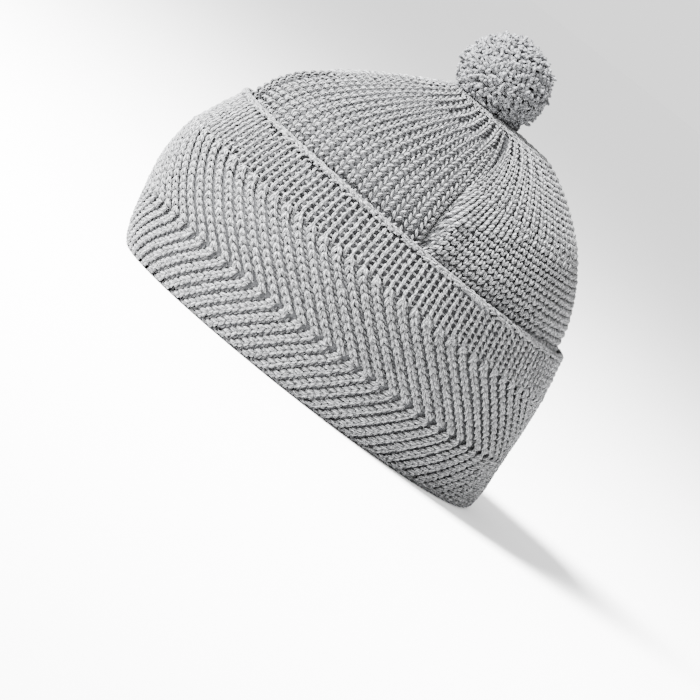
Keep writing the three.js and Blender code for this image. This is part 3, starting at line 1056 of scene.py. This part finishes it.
def crown_shell():
    """The crown's shell: up inside the cuff, over the dome and back down inside."""
    rib = np.cos(turns * CUFF_RIBS)
    rings = []

    def wall_ring(height, inset):
        rise = height / CUFF_HEIGHT
        reach = read_outline(CUFF_OUTLINE, "reach", rise)
        lean = read_outline(CUFF_OUTLINE, "lean", rise) * CAP_LENGTH / 2
        length, width = (reach * size / 2 - inset for size in (CAP_LENGTH, CAP_WIDTH))
        return oval_point(turns, length, width, lean, height)

    def dome_ring(climb, depth):
        row = np.full_like(turns, climb)
        lift = dart_relief(turns, row) - depth
        return on_sheet(crown_place, turns, row, lift)[0]

    inside = KNIT + LAYER_GAP + KNIT
    outer_walls = np.linspace(FOOT_HEIGHT + 0.3, CUFF_HEIGHT - 6, 8)
    outer_climbs = np.linspace(0, TOP_CLIMB, 40)
    for height in outer_walls:
        rings.append(wall_ring(height, KNIT + LAYER_GAP + 0.4))
    for climb in outer_climbs:
        rings.append(dome_ring(climb, BACKING_DEPTH))
    for climb in outer_climbs[::-1]:
        rings.append(dome_ring(climb, KNIT - 0.3 * rib * min(1, (TOP_CLIMB - climb) / 20)))
    for height in outer_walls[::-1]:
        rings.append(wall_ring(height, inside - 0.3 * rib))
    # The shell's dark yarn is painted shade.
    return shell_mesh("crown_backing", np.array(rings), painted_shade_yarn)


dress(crown_shell(), "crown")

# %% [markdown]
# ## The pompom
#
# A pompom is a bundle of yarn, tied in the middle and clipped to a ball, so only cut tips
# show. Each tip is a short bent length of yarn. Hair particles could draw them, but meshes
# from arrays are exact and export as they are.

# %% Yarn tips of the pompom
TIP_COUNT = 2400


def ball_directions(count):
    """Directions spread evenly over a ball."""
    index = np.arange(count) + 0.5
    height = 1 - 2 * index / count
    angle = index * math.pi * (3 - math.sqrt(5))
    ring = np.sqrt(1 - height**2)
    return np.stack([ring * np.cos(angle), ring * np.sin(angle), height], 1)


def make_tips():
    """The clipped tips, bent at random and pressed flat under the ball."""
    rings = 4
    out = ball_directions(TIP_COUNT) + rng.normal(0, 0.03, (TIP_COUNT, 3))
    out /= np.linalg.norm(out, axis=1, keepdims=True)
    lean = np.cross(out, rng.normal(0, 1, (TIP_COUNT, 3)))
    lean /= np.linalg.norm(lean, axis=1, keepdims=True)
    t = np.linspace(0, 1, rings)[None, :, None]
    bend = rng.uniform(1.0, 3.2, (TIP_COUNT, 1, 1))
    reach = POMPOM_RADIUS - 0.6 + rng.normal(0, 0.8, (TIP_COUNT, 1, 1))
    path = out[:, None] * (reach - 4.0 * (1 - t) ** 1.3) + lean[:, None] * bend * (t**2 - 0.4)
    path = path + np.array([0, -POMPOM_FORWARD, pompom_centre[2]])
    path[..., 2] = np.maximum(path[..., 2], pompom_seat)
    width = np.array([0.6, 0.8, 0.92, 0.78]) * rng.uniform(0.85, 1.15, (TIP_COUNT, 1))
    normals = np.broadcast_to(lean[:, None], path.shape)
    tint = rng.normal(0, 0.25, TIP_COUNT)
    return yarn_mesh("pompom_tips", path, normals, width, 0.9, pompom_yarn, tint)


dress(make_tips(), "pompom")

# %% [markdown]
# ## The core of the pompom
#
# The yarn is bound in the middle, and what one sees between the tips is its packed inside. A
# thousand more yarns would do it, but all of them would be hidden, so a ball painted dark as
# shade, flat where it sits on the crown, fills the space.

# %% The bound core


def make_core():
    """The middle of the bundle, seen only between the tips, painted dark as shade."""
    columns, core_radius = 48, POMPOM_RADIUS - 3.4
    angle = np.arange(columns) * TURN / columns
    rings = []
    for tilt in np.linspace(0.06, math.pi - 0.06, 24):
        radius = core_radius * math.sin(tilt)
        height = pompom_centre[2] - core_radius * math.cos(tilt)
        height = max(height, pompom_seat + 0.2)
        ring = [radius * np.cos(angle), radius * np.sin(angle) - POMPOM_FORWARD]
        rings.append(np.stack([*ring, np.full(columns, height)], 1))
    return shell_mesh("pompom_core", np.array(rings), painted_shade_yarn, closed=False)


dress(make_core(), "pompom")

# %% [markdown]
# ## Floor, light and camera
#
# The photograph has a white sweep and soft light. A curved sweep could be built, but a wide
# white floor under an even white sky has no visible horizon either, and two square lamps
# give the yarn its shape. The camera is rolled, because the cap in the photograph is tilted
# and this one stands on its rim.

# %% White floor


def white_floor():
    """A wide white plane that the cap rests on."""
    material = bpy.data.materials.new("studio_floor")
    material.use_nodes = True
    shader = material.node_tree.nodes["Principled BSDF"]
    shader.inputs["Base Color"].default_value = (0.96, 0.96, 0.96, 1)
    shader.inputs["Roughness"].default_value = 0.9
    shader.inputs["Specular IOR Level"].default_value = 0.1
    mesh = bpy.data.meshes.new("floor")
    size = 30.0
    corners = [(-size, -size, 0), (size, -size, 0), (size, size, 0), (-size, size, 0)]
    mesh.from_pydata(corners, [], [(0, 1, 2, 3)])
    mesh.materials.append(material)
    floor = bpy.data.objects.new("floor", mesh)
    bpy.context.scene.collection.objects.link(floor)
    return floor


white_floor()

# %% Camera at the photograph's angle
AZIMUTH = math.radians(80)
ELEVATION = math.radians(5.5)
ROLL = math.radians(38.4)
DISTANCE = 2.0
LENS = 222.0
TARGET = Vector((0, 0.0181, 0.0239))

back = Vector(
    (
        math.sin(AZIMUTH) * math.cos(ELEVATION),
        -math.cos(AZIMUTH) * math.cos(ELEVATION),
        math.sin(ELEVATION),
    )
)
right = Vector((math.cos(AZIMUTH), math.sin(AZIMUTH), 0))
up = back.cross(right)
rolled_right = right * math.cos(ROLL) + up * math.sin(ROLL)
rolled_up = up * math.cos(ROLL) - right * math.sin(ROLL)

camera_data = bpy.data.cameras.new("camera")
camera_data.lens = LENS
camera_data.sensor_width = 36
camera = bpy.data.objects.new("camera", camera_data)
bpy.context.scene.collection.objects.link(camera)
turned = Matrix((rolled_right, rolled_up, back)).transposed()
camera.matrix_world = Matrix.Translation(TARGET + back * DISTANCE) @ turned.to_4x4()
bpy.context.scene.camera = camera
print("camera stands at", tuple(round(v, 3) for v in camera.matrix_world.translation))

# %% Soft studio light


def soft_lamp(name, towards, distance, size, power):
    """A square lamp that shines at the cap from a direction."""
    lamp = bpy.data.lights.new(name, "AREA")
    lamp.shape = "SQUARE"
    lamp.size = size
    lamp.energy = power
    made = bpy.data.objects.new(name, lamp)
    direction = towards.normalized()
    made.location = Vector((0, 0, 0.08)) + direction * distance
    made.rotation_mode = "QUATERNION"
    made.rotation_quaternion = direction.to_track_quat("Z", "Y")
    bpy.context.scene.collection.objects.link(made)
    return made


world = bpy.data.worlds.new("studio")
bpy.context.scene.world = world
world.use_nodes = True
sky = world.node_tree.nodes["Background"]
sky.inputs["Color"].default_value = (1, 1, 1, 1)
sky.inputs["Strength"].default_value = 1.6
soft_lamp("key", rolled_up * 1.0 - rolled_right * 0.1 + back * 0.3, 1.6, 0.5, 460)
soft_lamp("fill", back * 1.0 + rolled_right * 0.8 + rolled_up * 0.2, 2.2, 1.6, 10)
print("lit by the sky and two lamps")
